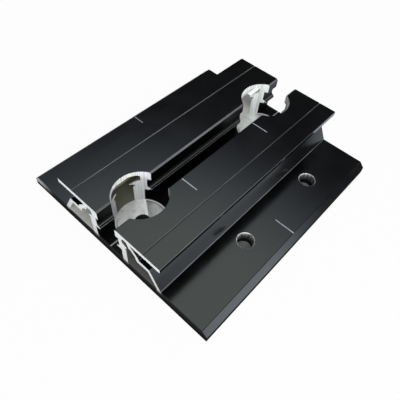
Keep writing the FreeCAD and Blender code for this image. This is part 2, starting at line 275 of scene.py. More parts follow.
class BareMetal(bpy.types.PropertyGroup):
    """The aluminium that sawing, milling and drilling laid bare."""

    bright: colour_setting("Bright", "Colour of freshly cut metal", (0.91, 0.915, 0.90))
    dull: colour_setting("Dull", "Colour in the tool marks", (0.60, 0.605, 0.60))
    # The open ends' colour, scaled by the mouth shares below: painted light and shade
    hollow: colour_setting(
        "Hollow", "Colour of the metal near the rails' open ends", (0.78, 0.78, 0.75)
    )
    # Painted shade inside the rails' front halves
    hollow_front_shade: colour_setting(
        "Hollow, front", "Colour inside the rails' front halves", (0.19, 0.195, 0.145)
    )
    # Painted light inside the rails' rear halves
    hollow_rear_light: colour_setting(
        "Hollow, rear", "Colour inside the rails' rear halves", (0.92, 0.92, 0.90)
    )
    warm: colour_setting(
        "Warm tint", "Tint of the front pocket's wall beside the web", (0.99, 0.98, 0.91)
    )
    blue: colour_setting("Blue tint", "Tint of the web in the front pocket", (0.94, 0.94, 1.0))
    cool: colour_setting("Cool tint", "Tint of the rear pocket's wall", (0.96, 1.0, 1.0))
    # The mouth shares paint light in the left rail's open ends and shade in the right rail's
    mouth_left: share_setting(
        "Left mouth", "Share of the hollow's colour at the left rail's open ends", 0.60
    )
    mouth_right: share_setting("Right mouth", "The same share at the right rail's open ends", 0.11)


class PadFinish(bpy.types.PropertyGroup):
    """The sealing pad's rubber."""

    rubber: colour_setting("Rubber", "Colour of the rubber", (0.0035, 0.0035, 0.0038))
    roughness: share_setting("Roughness", "Roughness of the rubber", 0.78)


class StudioLight(bpy.types.PropertyGroup):
    """The lamps, the floor and the fill."""

    overhead: number_setting("Overhead", "Brightness of the round panel overhead", 1.19)
    side: number_setting("Side", "Brightness of the tall panel at the right", 2.25)
    key_watts: power_setting("Key", "Power of the softbox at the front right", 5.6)
    side_watts: power_setting("Side lamp", "Power of the low softbox at the right", 3.0)
    rear_watts: power_setting("Rear lamp", "Power of the low softbox behind the base", 2.5)
    lamp_tint: colour_setting("Lamp tint", "Colour of the softboxes", (1.0, 1.0, 0.99))
    tint: colour_setting("Tint", "Colour of the overhead panel", (0.90, 1.0, 0.96))
    rim_tint: colour_setting("Rim tint", "Colour of the overhead panel's soft rim", (0.62, 0.72, 1.0))
    side_tint: colour_setting("Side tint", "Colour of the panel at the right", (0.84, 0.92, 1.0))
    floor_gloss: colour_setting(
        "Floor in gloss", "Colour of the floor as gloss shows it", (0.82, 0.90, 1.0)
    )
    fill: number_setting("Fill", "Strength of the even fill light", 0.28)
    floor: colour_setting("Floor", "Colour of the floor", (0.62, 0.62, 0.62))
    # A painted shade: the floor's darker colour under the base, seen through the holes
    under: colour_setting("Under", "Colour of the floor under the base", (0.25, 0.25, 0.25))


class RoofMountSettings(bpy.types.PropertyGroup):
    """All settings of the base, its pad and the studio."""

    shape: PointerProperty(type=BaseShape, name="Shape", description="Places on the base")
    anodised: PointerProperty(type=AnodisedFinish, name="Anodised", description="Black skin")
    bare: PointerProperty(type=BareMetal, name="Bare metal", description="Cut faces")
    pad: PointerProperty(type=PadFinish, name="Pad", description="Sealing pad")
    light: PointerProperty(type=StudioLight, name="Light", description="Lamps and floor")


# Shader building
class Wiring:
    """Adds nodes to one tree and joins them."""

    def __init__(self, tree):
        self.tree = tree

    def add(self, kind, inputs=None, **settings):
        """A new node, with its settings made and its inputs fed."""
        node = self.tree.nodes.new(kind)
        for name, value in settings.items():
            setattr(node, name, value)
        for name, value in (inputs or {}).items():
            self.feed(node.inputs[name], value)
        return node

    def feed(self, socket, value):
        """Joins an output to a socket, or sets a plain value on it."""
        if isinstance(value, bpy.types.NodeSocket):
            self.tree.links.new(value, socket)
        else:
            socket.default_value = value

    def maths(self, operation, *values):
        """One step of maths on numbers."""
        node = self.add("ShaderNodeMath", operation=operation)
        for socket, value in zip(node.inputs, values):
            self.feed(socket, value)
        return node.outputs[0]

    def apart(self, value, place):
        """How far a value is from a place."""
        return self.maths("ABSOLUTE", self.maths("SUBTRACT", value, place))

    def vector_maths(self, operation, first, second):
        """One step of maths on two colours or directions."""
        node = self.add("ShaderNodeVectorMath", operation=operation)
        self.feed(node.inputs[0], first)
        self.feed(node.inputs[1], second)
        return node.outputs["Value" if operation == "DOT_PRODUCT" else "Vector"]

    def ramp(self, value, low, high, to_low=0.0, to_high=1.0):
        """A smooth rise from to_low to to_high while value goes from low to high."""
        inputs = {
            "Value": value,
            "From Min": low,
            "From Max": high,
            "To Min": to_low,
            "To Max": to_high,
        }
        node = self.add("ShaderNodeMapRange", inputs, interpolation_type="SMOOTHSTEP")
        return node.outputs["Result"]

    def swing(self, marks, in_hollows, on_crests):
        """A value that goes with the marks, from their hollows to their crests."""
        return self.ramp(marks, *MARK_RANGE, in_hollows, on_crests)

    def blend(self, share, first, second):
        """The first colour where share is 0, the second where it is 1."""
        node = self.add("ShaderNodeMix", {"Factor": share}, data_type="RGBA", clamp_factor=True)
        for place, tone in zip(MIX_COLOURS, (first, second)):
            self.feed(node.inputs[place], tone)
        return node.outputs[MIX_RESULT]

    def scaled(self, tone, factor):
        """A colour times a number."""
        node = self.add("ShaderNodeVectorMath", {"Scale": factor}, operation="SCALE")
        self.feed(node.inputs[0], tone if isinstance(tone, bpy.types.NodeSocket) else tone[:3])
        return node.outputs[0]

    def spot(self):
        """Object coordinates."""
        return self.add("ShaderNodeTexCoord").outputs["Object"]

    def axes(self, *names):
        """Object coordinates along the named axes, each as a number."""
        parts = self.add("ShaderNodeSeparateXYZ", {"Vector": self.spot()})
        return [parts.outputs[name] for name in names]

    def noise(self, vector, scale, detail=3.0, roughness=0.5):
        """Soft noise between 0 and 1."""
        inputs = {"Vector": vector, "Scale": scale, "Detail": detail, "Roughness": roughness}
        return self.add("ShaderNodeTexNoise", inputs).outputs["Fac"]


def rgba(tone, factor=1.0):
    """A colour's three parts times a factor, and full alpha."""
    return (tone[0] * factor, tone[1] * factor, tone[2] * factor, 1.0)


def grey(level):
    """A grey with full alpha."""
    return (level, level, level, 1.0)


def new_group(name, sockets):
    """An empty node group with named inputs and outputs."""
    tree = bpy.data.node_groups.new(name, "ShaderNodeTree")
    for socket_name, direction, kind, default in sockets:
        socket = tree.interface.new_socket(socket_name, in_out=direction, socket_type=kind)
        if default is not None:
            socket.default_value = default
    wires = Wiring(tree)
    return wires, wires.add("NodeGroupInput").outputs, wires.add("NodeGroupOutput").inputs


def streak_group():
    """Die lines and tool marks: noise drawn out along one axis."""
    wires, given, result = new_group(
        "drawn_streaks",
        (
            ("Stretch", "INPUT", "NodeSocketVector", (1.0, 0.01, 1.0)),
            ("Scale", "INPUT", "NodeSocketFloat", 1500.0),
            ("Streaks", "OUTPUT", "NodeSocketFloat", None),
        ),
    )
    stretched = wires.vector_maths("MULTIPLY", wires.spot(), given["Stretch"])
    streaks = wires.noise(stretched, given["Scale"], detail=4.0, roughness=0.6)
    wires.feed(result["Streaks"], streaks)


def grain_group():
    """The etched grain of the skin and the rubber, with a slow cloud over it."""
    wires, given, result = new_group(
        "etched_grain",
        (
            ("Grain Scale", "INPUT", "NodeSocketFloat", 9000.0),
            ("Cloud Scale", "INPUT", "NodeSocketFloat", 60.0),
            ("Grain", "OUTPUT", "NodeSocketFloat", None),
            ("Cloud", "OUTPUT", "NodeSocketFloat", None),
        ),
    )
    spot = wires.spot()
    for name in ("Grain", "Cloud"):
        wires.feed(result[name], wires.noise(spot, given[name + " Scale"], detail=2.0))


def streaks_on(wires, stretch, scale):
    """The shared group's streaks, with this material's own stretch and scale."""
    inputs = {"Stretch": stretch, "Scale": scale}
    tree = bpy.data.node_groups["drawn_streaks"]
    return wires.add("ShaderNodeGroup", inputs, node_tree=tree).outputs["Streaks"]


def grain_on(wires, grain_scale, cloud_scale):
    """The shared group's grain and cloud, with this material's own scales."""
    inputs = {"Grain Scale": grain_scale, "Cloud Scale": cloud_scale}
    tree = bpy.data.node_groups["etched_grain"]
    outputs = wires.add("ShaderNodeGroup", inputs, node_tree=tree).outputs
    return outputs["Grain"], outputs["Cloud"]


def new_material(name):
    """A material with an empty tree."""
    material = bpy.data.materials.new(name)
    material.use_nodes = True
    material.node_tree.nodes.clear()
    return material, Wiring(material.node_tree)


def paint(wires, colour, roughness, height, strength, distance, **others):
    """Ends a material's tree with its relief and its surface shader."""
    relief = wires.add("ShaderNodeBump", {"Height": height, "Strength": strength, "Distance": distance})
    surface = wires.add("ShaderNodeBsdfPrincipled", {"Normal": relief.outputs["Normal"]})
    wires.feed(surface.inputs["Base Color"], colour)
    wires.feed(surface.inputs["Roughness"], roughness)
    for name, value in others.items():
        wires.feed(surface.inputs[name.replace("_", " ")], value)
    wires.add("ShaderNodeOutputMaterial", {"Surface": surface.outputs[0]})


# Materials of the extrusion
def anodised_material(skin):
    """The dyed skin, with faint die lines, an etched grain and clouds of thinner dye."""
    material, wires = new_material("black_anodised")
    roughness_swing = 0.02
    lines = streaks_on(wires, stretch=(1.0, 0.006, 1.0), scale=1400.0)
    grain, cloud = grain_on(wires, grain_scale=9000.0, cloud_scale=70.0)
    thin = wires.ramp(wires.maths("ADD", lines, cloud), low=0.75, high=1.3)
    low = skin.roughness - roughness_swing
    high = skin.roughness + roughness_swing
    long_relief = wires.maths("MULTIPLY", lines, 0.7)
    fine_relief = wires.maths("MULTIPLY", grain, 0.3)
    paint(
        wires,
        colour=wires.blend(thin, rgba(skin.dye), rgba(skin.thin_dye)),
        roughness=wires.swing(cloud, low, high),
        height=wires.maths("ADD", long_relief, fine_relief),
        strength=0.05,
        distance=SKIN_DEPTH,
        IOR=1.65,
    )
    return material


def shaded_skin_material(skin):
    """The skin in the bolt channel, on the outer sides and on faces turned from the light: dead black
    as painted shade, with a painted highlight line along each hook's slope.
    """
    material, wires = new_material("channel_skin")
    lines = streaks_on(wires, stretch=(1.0, 0.01, 1.0), scale=1800.0)
    across, up = wires.axes("X", "Z")
    # A painted highlight line along each hook's slope
    beside = wires.apart(wires.maths("ABSOLUTE", across), HIGHLIGHT_LINE_PLACE[0])
    above = wires.apart(up, HIGHLIGHT_LINE_PLACE[1])
    highlight_line = wires.ramp(wires.maths("MAXIMUM", beside, above), *HIGHLIGHT_LINE_EDGE, 1.0, 0.0)
    # Painted shade: the skin darkened to dead black
    dark = wires.blend(lines, rgba(skin.dye, 0.4), rgba(skin.dye))
    paint(
        wires,
        colour=wires.blend(highlight_line, dark, rgba(skin.highlit, 1.1)),
        roughness=wires.swing(lines, in_hollows=0.42, on_crests=0.32),
        height=lines,
        strength=0.1,
        distance=DRAWN_DEPTH,
        IOR=1.38,
        Specular_IOR_Level=0.25,
    )
    return material


def lit_skin_material(skin):
    """The skin on the edges of grooves and corners, on right-facing chamfers and at the walls' feet:
    lighter as a painted highlight, smoother, and grey in patches.
    """
    material, wires = new_material("die_line")
    rubbing = streaks_on(wires, stretch=(1.0, 0.15, 1.0), scale=700.0)
    patches = wires.ramp(rubbing, low=0.4, high=0.75)
    # The painted highlight's colour, lighter in patches
    paint(
        wires,
        colour=wires.blend(patches, rgba(skin.highlit, 0.5), rgba(skin.highlit)),
        roughness=wires.swing(rubbing, in_hollows=0.20, on_crests=0.26),
        height=rubbing,
        strength=0.05,
        distance=DRAWN_DEPTH,
        IOR=1.6,
    )
    return material


def cut_material(name, bare, stretch, scale, roughness, tint, metallic):
    """Cut metal with the tool's marks running one way."""
    material, wires = new_material(name)
    marks = streaks_on(wires, stretch, scale)
    dull = [level * part for level, part in zip(bare.dull, tint)]
    bright = [level * part for level, part in zip(bare.bright, tint)]
    paint(
        wires,
        colour=wires.blend(wires.ramp(marks, low=0.3, high=0.65), rgba(dull), rgba(bright)),
        roughness=wires.swing(marks, *roughness),
        height=marks,
        strength=0.25,
        distance=TOOL_DEPTH,
        Metallic=metallic,
    )
    return material


def milled_wall_material(bare):
    """The pockets' walls: marks down the wall, with painted shade low down in the front pocket and on
    the walls at the right.
    """
    material, wires = new_material("milled_wall")
    shaded_level = 0.72
    unshaded = 1.09
    right_wall_shade = 0.5
    marks = streaks_on(wires, stretch=(1.0, 1.0, 0.02), scale=1800.0)
    across, along, up = wires.axes("X", "Y", "Z")
    # Painted shade: the front pocket's wall darker low down, and the right-hand walls at half the level
    level = wires.maths(
        "MAXIMUM",
        wires.ramp(along, *FRONT_TO_REAR, shaded_level, unshaded),
        wires.ramp(up, *WALL_SHADE_TOP, 0.0, unshaded),
    )
    level = wires.maths("MULTIPLY", level, wires.ramp(across, *WALL_TO_WALL, 1.0, right_wall_shade))
    on_web = wires.ramp(wires.maths("ABSOLUTE", across), *WEB_SIDE, 1.0, 0.0)
    front_tint = wires.blend(on_web, rgba(bare.warm), rgba(bare.blue))
    tint = wires.blend(wires.ramp(along, *FRONT_TO_REAR), front_tint, rgba(bare.cool))
    tone = wires.blend(wires.ramp(marks, low=0.35, high=0.6), rgba(bare.dull), rgba(bare.bright))
    paint(
        wires,
        colour=wires.scaled(wires.vector_maths("MULTIPLY", tone, tint), level),
        roughness=wires.swing(marks, in_hollows=0.38, on_crests=0.25),
        height=marks,
        strength=0.25,
        distance=TOOL_DEPTH,
    )
    return material


def hole_rim_material(bare, shape):
    """A drilled hole's rim and wall: a bright thin ring over metal darkened as painted shade, darker
    further down.
    """
    material, wires = new_material("hole_rim")
    shade_share = 0.10
    half_shaded = 0.5
    deepest = 0.3
    marks = streaks_on(wires, stretch=(1.0, 1.0, 0.05), scale=2500.0)
    (up,) = wires.axes("Z")
    ring = wires.ramp(up, *(shape.plate_top - depth for depth in RIM_RING))
    unshaded = wires.blend(wires.ramp(marks, low=0.3, high=0.6), rgba(bare.dull), rgba(bare.bright))
    in_streaks = wires.ramp(marks, low=0.48, high=0.6)
    # Painted shade: the wall below the ring darkened, more so further down
    streaked = wires.blend(in_streaks, rgba(bare.dull, shade_share), rgba(bare.dull, half_shaded))
    light = wires.ramp(up, *(shape.plate_top - depth for depth in RIM_SHADE), deepest, 1.0)
    paint(
        wires,
        colour=wires.blend(ring, wires.scaled(streaked, light), unshaded),
        roughness=wires.swing(marks, in_hollows=0.40, on_crests=0.28),
        height=marks,
        strength=0.2,
        distance=TOOL_DEPTH,
        Metallic=0.3,
    )
    return material


def highlight_grey_material(bare):
    """Bare grey on the channel's broken edges and on the floor groove near the base's ends: a painted
    highlight, streaked.
    """
    material, wires = new_material("rubbed")
    marks = streaks_on(wires, stretch=(1.0, 0.1, 1.0), scale=900.0)
    # The painted highlight, lighter along the streaks
    streak_share = wires.swing(marks, in_hollows=0.0, on_crests=1.0)
    paint(
        wires,
        colour=wires.blend(streak_share, rgba(bare.dull, 0.40), rgba(bare.dull, 0.70)),
        roughness=wires.swing(marks, in_hollows=0.45, on_crests=0.35),
        height=marks,
        strength=0.1,
        distance=TOOL_DEPTH,
    )
    return material


def pilot_material(bare):
    """The wall of a screw hole in a pocket's floor, darkened as painted shade."""
    material, wires = new_material("pilot_wall")
    shade_share = 0.12
    marks = streaks_on(wires, stretch=(1.0, 1.0, 0.05), scale=2500.0)
    # Painted shade: the hole's wall darkened nearly to black
    paint(
        wires,
        colour=wires.blend(marks, rgba(bare.dull, shade_share * 0.4), rgba(bare.dull, shade_share)),
        roughness=wires.swing(marks, in_hollows=0.55, on_crests=0.42),
        height=marks,
        strength=0.2,
        distance=TOOL_DEPTH,
        Metallic=0.5,
    )
    return material


def plate_end_material(skin, bare):
    """The dull end of the plate: brighter under the rails' feet, fading towards the bottom as painted
    shade, and a painted highlight at its left corner.
    """
    material, wires = new_material("plate_end")
    marks = streaks_on(wires, stretch=(0.01, 1.0, 1.0), scale=3000.0)
    across, up = wires.axes("X", "Z")
    from_middle = wires.maths("ABSOLUTE", across)
    web = wires.ramp(wires.apart(from_middle, WEB_FOOT), *WEB_FOOT_EDGE, 1.0, 0.0)
    wall = wires.ramp(wires.apart(from_middle, WALL_FOOT), *WALL_FOOT_EDGE, 1.0, 0.0)
    # The brightness under the feet fades towards the bottom: painted shade
    feet = wires.maths("MULTIPLY", wires.maths("MAXIMUM", web, wall), wires.ramp(up, *FOOT_SHADE_FADE))
    # A painted highlight at the left corner
    corner = wires.ramp(across, *LEFT_CORNER_HIGHLIGHT, 1.0, 0.0)
    share = wires.ramp(marks, low=0.2, high=0.6, to_low=0.40, to_high=0.52)
    bare_and_highlight_share = wires.maths("MULTIPLY", wires.maths("MAXIMUM", feet, corner), share)
    paint(
        wires,
        colour=wires.blend(bare_and_highlight_share, rgba(skin.thin_dye), rgba(bare.bright)),
        roughness=wires.swing(marks, in_hollows=0.62, on_crests=0.5),
        height=marks,
        strength=0.2,
        distance=TOOL_DEPTH,
    )
    return material


def chamber_colour(wires, bare):
    """Grey metal inside a rail: dark in its front half as painted shade, light in its rear half as
    painted light, and at its open ends a share of the hollow colour, larger in the left rail than the
    right, as painted light and shade.
    """
    lines = streaks_on(wires, stretch=(1.0, 0.008, 1.0), scale=1500.0)
    across, along = wires.axes("X", "Y")
    in_rear = wires.ramp(along, *FRONT_TO_REAR)
    deep = wires.blend(in_rear, rgba(bare.hollow_front_shade), rgba(bare.hollow_rear_light))
    # The open ends: painted light in the left rail, painted shade in the right
    mouth_share = wires.ramp(across, *RAIL_TO_RAIL, bare.mouth_left, bare.mouth_right)
    mouth = wires.scaled(rgba(bare.hollow), mouth_share)
    tone = wires.blend(wires.ramp(wires.maths("ABSOLUTE", along), *MOUTH_START), deep, mouth)
    drawn = wires.ramp(lines, low=0.35, high=0.65, to_low=0.88, to_high=1.0)
    return wires.scaled(tone, drawn), lines


def chamber_wall_material(bare):
    """The walls and the ceiling inside a rail, in the chamber's colours with their painted light and
    shade.
    """
    material, wires = new_material("chamber_wall")
    tone, lines = chamber_colour(wires, bare)
    paint(
        wires,
        colour=tone,
        roughness=wires.swing(lines, in_hollows=0.62, on_crests=0.5),
        height=lines,
        strength=0.15,
        distance=DRAWN_DEPTH,
        Metallic=0.1,
    )
    return material


def past_highlight_streak(wires, across, along):
    """How far a place lies behind the painted highlight streak in the front pocket."""
    steps = []
    for value, place, way in zip((across, along), HIGHLIGHT_STREAK_PLACE, HIGHLIGHT_STREAK_WAY):
        steps.append(wires.maths("MULTIPLY", wires.maths("SUBTRACT", value, place), way))
    return wires.maths("ADD", *steps)


def milled_floor_colour(wires, bare, shape, shade, across, along, radius):
    """A pocket's floor and its share of painted highlight: a highlight streak with painted shade behind
    it in the front pocket, a highlight at the rim, and a ring of painted shade inside the rim.
    """
    unshaded = 1.15
    dull = 0.50
    ring_dip = -0.45
    milled = wires.blend(wires.ramp(shade, low=0.3, high=0.6), rgba(bare.dull), rgba(bare.bright))
    past = past_highlight_streak(wires, across, along)
    level = wires.maths(
        "MAXIMUM",
        wires.ramp(past, *SHADE_BEHIND_STREAK, dull, unshaded),
        wires.ramp(past, *AHEAD_OF_STREAK, unshaded, 0.0),
    )
    milled = wires.scaled(milled, level)
    # The painted highlights: a streak in the front pocket and the rim, with a ring of painted shade
    # just inside the rim
    line = wires.ramp(wires.maths("ABSOLUTE", past), *HIGHLIGHT_STREAK_EDGE, 1.0, 0.0)
    in_channel_width = wires.maths("LESS_THAN", wires.maths("ABSOLUTE", across), shape.channel_half)
    rim = wires.maths("MULTIPLY", in_channel_width, wires.ramp(radius, *HIGHLIGHT_RIM))
    ring = wires.ramp(wires.apart(radius, SHADE_RING), *SHADE_RING_EDGE, 1.0, 0.0)
    ring = wires.maths("MULTIPLY", in_channel_width, ring)
    milled = wires.scaled(milled, wires.maths("MULTIPLY_ADD", ring, ring_dip, 1.0))
    highlight_share = wires.maths("MAXIMUM", line, rim)
    return wires.blend(highlight_share, milled, grey(0.98)), highlight_share


def chamber_floor_material(bare, shape):
    """The floor: milled in rings inside a pocket, with painted highlights and painted shade, and grey
    metal beyond it with the rails' painted light and shade.
    """
    material, wires = new_material("chamber_floor")
    ring_share = 0.15
    across, along = wires.axes("X", "Y")
    past_middle = wires.maths("SUBTRACT", wires.maths("ABSOLUTE", along), shape.pocket_place)
    squares = [wires.maths("MULTIPLY", part, part) for part in (across, past_middle)]
    radius = wires.maths("SQRT", wires.maths("ADD", *squares))
    inside = wires.ramp(radius, shape.pocket_radius - NEAR, shape.pocket_radius + NEAR, 1.0, 0.0)
    rings = wires.maths("SINE", wires.maths("MULTIPLY", radius, 2.0 * math.pi / RING_STEP))
    patches = wires.noise(wires.spot(), scale=500.0)
    # Tone of the cutter's rings and patches
    shade = wires.maths("ADD", wires.maths("MULTIPLY", rings, ring_share), patches)
    milled, highlight_share = milled_floor_colour(wires, bare, shape, shade, across, along, radius)
    hollow = chamber_colour(wires, bare)[0]
    left_to_middle = wires.ramp(across, *POCKET_LEFT_TO_MIDDLE, to_low=0.05, to_high=0.4)
    metallic = wires.maths("MULTIPLY", inside, left_to_middle)
    signed = wires.maths("MULTIPLY", past_middle, wires.maths("SIGN", along))
    outward = wires.add("ShaderNodeCombineXYZ")
    wires.feed(outward.inputs["X"], across)
    wires.feed(outward.inputs["Y"], signed)
    paint(
        wires,
        colour=wires.blend(inside, hollow, milled),
        roughness=wires.ramp(inside, low=0.0, high=1.0, to_low=0.55, to_high=0.26),
        height=wires.maths("MULTIPLY", wires.maths("ADD", rings, patches), inside),
        strength=0.2,
        distance=TOOL_DEPTH,
        Metallic=wires.maths("MULTIPLY", metallic, wires.maths("SUBTRACT", 1.0, highlight_share)),
        Anisotropic=0.5,
        Tangent=outward.outputs[0],
    )
    return material


def pad_material(finish):
    """Matt rubber with a grain, in clouds of two tones."""
    material, wires = new_material("sealing_rubber")
    lighter = 1.9
    grain, cloud = grain_on(wires, grain_scale=5000.0, cloud_scale=90.0)
    low = finish.roughness - 0.06
    high = finish.roughness + 0.08
    paint(
        wires,
        colour=wires.blend(cloud, rgba(finish.rubber), rgba(finish.rubber, lighter)),
        roughness=wires.swing(grain, low, high),
        height=grain,
        strength=0.35,
        distance=RUBBER_DEPTH,
        Specular_IOR_Level=0.15,
    )
    return material


# The extrusion
def radius_from(corner, across, along):
    """How far a corner is from an upright axis."""
    return math.hypot(corner.x - across, corner.y - along)


def on_cylinder(face, across, along, radius):
    """True for a face whose corners all lie on an upright cylinder."""
    return all(abs(radius_from(v.co, across, along) - radius) < NEAR for v in face.verts)


def hole_places(shape):
    """Middles of the screw holes: the side strips' from the record, then the pockets'."""
    places = []
    for mount in frame["record"]["mounts"]:
        if mount["kind"] == "bolt_pattern":
            across, along = mount["pos_m"][:2]
            half = mount["dims"]["spacing_y_mm"] * MILLIMETRE / 2
            places += [(across, along - half), (across, along + half)]
    return places + [(0.0, -shape.pocket_place), (0.0, shape.pocket_place)]


def hole_finish(face, middle, shape, holes):
    """The finish of a screw hole's wall or rim, or None for a face elsewhere."""
    for across, along in holes:
        if radius_from(middle, across, along) < shape.hole_radius + RIM_REACH:
            if on_cylinder(face, across, along, shape.hole_radius):
                return "hole_wall" if abs(across) > NEAR else "pilot_wall"
            if RIM_SLANT[0] < face.normal.z < RIM_SLANT[1]:
                return "hole_rim"
    return None


def is_scribed(middle, normal, shape, top):
    """True for the floor or a side of a mark scribed in the plate or a flange."""
    for level in (shape.plate_top, top):
        sunk = level - middle.z
        if normal.z > SQUARELY and abs(sunk - shape.mark_depth) < NEAR:
            return True
        if abs(normal.y) > SQUARELY and NEAR < sunk < shape.mark_depth:
            return True
    return False


def cut_finish(face, middle, shape, holes, low, high):
    """The finish that a tool gave to this face, or None for a face that kept its skin."""
    normal = face.normal
    drilled = hole_finish(face, middle, shape, holes)
    if drilled:
        return drilled
    if abs(normal.y) > SQUARELY and (middle.y < low.y + NEAR or middle.y > high.y - NEAR):
        return "sawn_end" if middle.z > shape.plate_top else "plate_end"
    for along in (-shape.pocket_place, shape.pocket_place):
        if abs(normal.z) < UPRIGHT and on_cylinder(face, 0.0, along, shape.pocket_radius):
            return "milled_wall" if middle.z > shape.plate_top else "milled_step"
    if normal.z > SQUARELY and abs(middle.z - shape.chamber_floor) < NEAR:
        return "chamber_floor"
    if is_scribed(middle, normal, shape, high.z):
        return "scribed"
    return None


def skin_finish(face, middle, shape, high):
    """The kind of skin on a face that no tool has cut."""
    normal = face.normal
    sunk = shape.plate_top - middle.z
    # Painted finishes: the floor groove gets a painted highlight near the ends and painted shade in the
    # middle; the outer sides, the channel's faces and the left-facing chamfers get painted shade; the
    # walls' feet and the right-facing chamfers get a painted highlight
    if abs(middle.x) < shape.groove_half and NEAR < sunk < shape.groove_depth:
        return "rubbed" if abs(middle.y) > shape.pocket_place else "channel_skin"
    if abs(normal.x) > SQUARELY and abs(middle.x) > high.x - NEAR:
        return "channel_skin"
    if abs(middle.x) < shape.channel_half and sunk < NEAR and middle.z < shape.lip_top:
        return "channel_skin"
    if NEAR < -sunk < shape.foot_cove and abs(middle.x) > shape.wall_foot:
        return "die_line"
    if middle.z > shape.lip_top and CHAMFER_SLANT[0] < normal.z < CHAMFER_SLANT[1]:
        return "die_line" if normal.x > 0.0 else "channel_skin"
    return "anodised"


def mark_finishes(work, layer, shape, low, high):
    """Writes each face's finish into a layer."""
    holes = hole_places(shape)
    for face in work.faces:
        middle = face.calc_center_median()
        name = cut_finish(face, middle, shape, holes, low, high)
        face[layer] = FINISHES.index(name or skin_finish(face, middle, shape, high))


def spread_chamber(work, layer, shape):
    """Marks the skin inside both rails, spreading out from their flat ceilings."""
    skin = FINISHES.index("anodised")
    chamber = FINISHES.index("chamber_wall")
    waiting = []
    for face in work.faces:
        middle = face.calc_center_median()
        if face.normal.z < -SQUARELY and abs(middle.z - shape.shoulder_ceiling) < NEAR:
            waiting.append(face)
    if not waiting:
        raise RuntimeError("the chambers' ceilings were not found")
    for face in waiting:
        face[layer] = chamber
    while waiting:
        face = waiting.pop()
        for edge in face.edges:
            for other in edge.link_faces:
                if other[layer] == skin:
                    other[layer] = chamber
                    waiting.append(other)


def merged_copy(node, name):
    """A copy of a CAD node as one closed mesh with flat faces, ready to be shaped."""
    work = bmesh.new()
    work.from_mesh(frame["nodes"][node].data)
    bmesh.ops.remove_doubles(work, verts=work.verts, dist=MERGE_REACH)
    bmesh.ops.dissolve_limit(
        work,
        angle_limit=FLAT_TURN,
        use_dissolve_boundaries=False,
        verts=work.verts,
        edges=work.edges,
    )
    mesh = bpy.data.meshes.new(name)
    piece = bpy.data.objects.new(name, mesh)
    bpy.context.scene.collection.objects.link(piece)
    return work, piece


def cut_ends(work, half_length, level):
    """Cuts the sawn ends along a level plane, into the plate's end and the rails' ends."""
    faces = [face for face in work.faces if abs(face.normal.y) > SQUARELY]
    faces = [f for f in faces if abs(abs(f.calc_center_median().y) - half_length) < NEAR]
    edges = dict.fromkeys(edge for face in faces for edge in face.edges)
    corners = dict.fromkeys(corner for face in faces for corner in face.verts)
    bmesh.ops.bisect_plane(
        work,
        geom=[*faces, *edges, *corners],
        dist=CUT_REACH,
        plane_co=(0.0, 0.0, level),
        plane_no=(0.0, 0.0, 1.0),
    )


def runs_along(edge):
    """True for an edge that runs the extrusion's way."""
    first, second = (corner.co for corner in edge.verts)
    way = second - first
    return abs(way.y) > LONG_EDGE and abs(way.y) > PARALLEL * way.length


def is_narrow(face, edge):
    """True for a strip that is too narrow for its edge to be broken."""
    return face.calc_area() < NARROW_STRIP * edge.calc_length()


def faces_left(edge):
    """True beside a face at the left that looks away to the left."""
    for face in edge.link_faces:
        if face.normal.x < LOOKS_LEFT and face.calc_center_median().x < 0.0:
            return True
    return False


def turning_edges(work, layer, pair, long_only, turns):
    """The outward edges between two finishes that turn by an angle between two bounds."""
    wanted = sorted(FINISHES.index(name) for name in pair)
    found = []
    for edge in work.edges:
        if len(edge.link_faces) != 2 or not turns[0] < edge.calc_face_angle_signed() < turns[1]:
            continue
        if sorted(face[layer] for face in edge.link_faces) != wanted:
            continue
        narrow = any(is_narrow(face, edge) for face in edge.link_faces)
        if not long_only or (runs_along(edge) and not narrow and not faces_left(edge)):
            found.append(edge)
    return found


def break_edges(work, layer, shape):
    """Breaks long edges of the skin, the plate's top edge at its ends, and the pockets' edges."""
    wide = shape.edge_break
    middling = wide * 0.6
    fine = wide * 0.5
    # The broken faces take the skin's painted finishes: a dark line of painted shade along the
    # 45-degree edges, and a painted highlight along the skin's sharp edges, the channel's edges and the
    # plate's top edge at its ends; the pockets' edges take cut metal
    for pair, long_only, finish, width, turns in (
        (("anodised", "anodised"), True, "channel_skin", wide, BLUNT_TURNS),
        (("anodised", "anodised"), True, "die_line", wide, SHARP_TURNS),
        (("channel_skin", "channel_skin"), True, "rubbed", middling, SHARP_TURNS),
        (("anodised", "plate_end"), False, "die_line", fine, SHARP_TURNS),
        (("channel_skin", "milled_wall"), False, "milled_step", wide, SHARP_TURNS),
        (("channel_skin", "milled_step"), False, "milled_step", wide, SHARP_TURNS),
    ):
        made = bmesh.ops.bevel(
            work,
            geom=turning_edges(work, layer, pair, long_only, turns),
            offset=width,
            offset_type="WIDTH",
            affect="EDGES",
            segments=1,
            profile=0.5,
            material=-1,
            clamp_overlap=True,
        )
        for face in made["faces"]:
            face[layer] = FINISHES.index(finish)


def base_materials(settings):
    """One material for each finish. A hole's wall and its rim share theirs."""
    skin = settings.anodised
    bare = settings.bare
    shape = settings.shape
    drilled = hole_rim_material(bare, shape)
    materials = {
        "anodised": anodised_material(skin),
        "plate_end": plate_end_material(skin, bare),
        "milled_wall": milled_wall_material(bare),
        "chamber_floor": chamber_floor_material(bare, shape),
        "chamber_wall": chamber_wall_material(bare),
        "hole_wall": drilled,
        "hole_rim": drilled,
        "die_line": lit_skin_material(skin),
        "channel_skin": shaded_skin_material(skin),
        "pilot_wall": pilot_material(bare),
        "rubbed": highlight_grey_material(bare),
    }
    for name, look in CUT_FACES.items():
        materials[name] = cut_material(name, bare, **look)
    return [materials[name] for name in FINISHES]


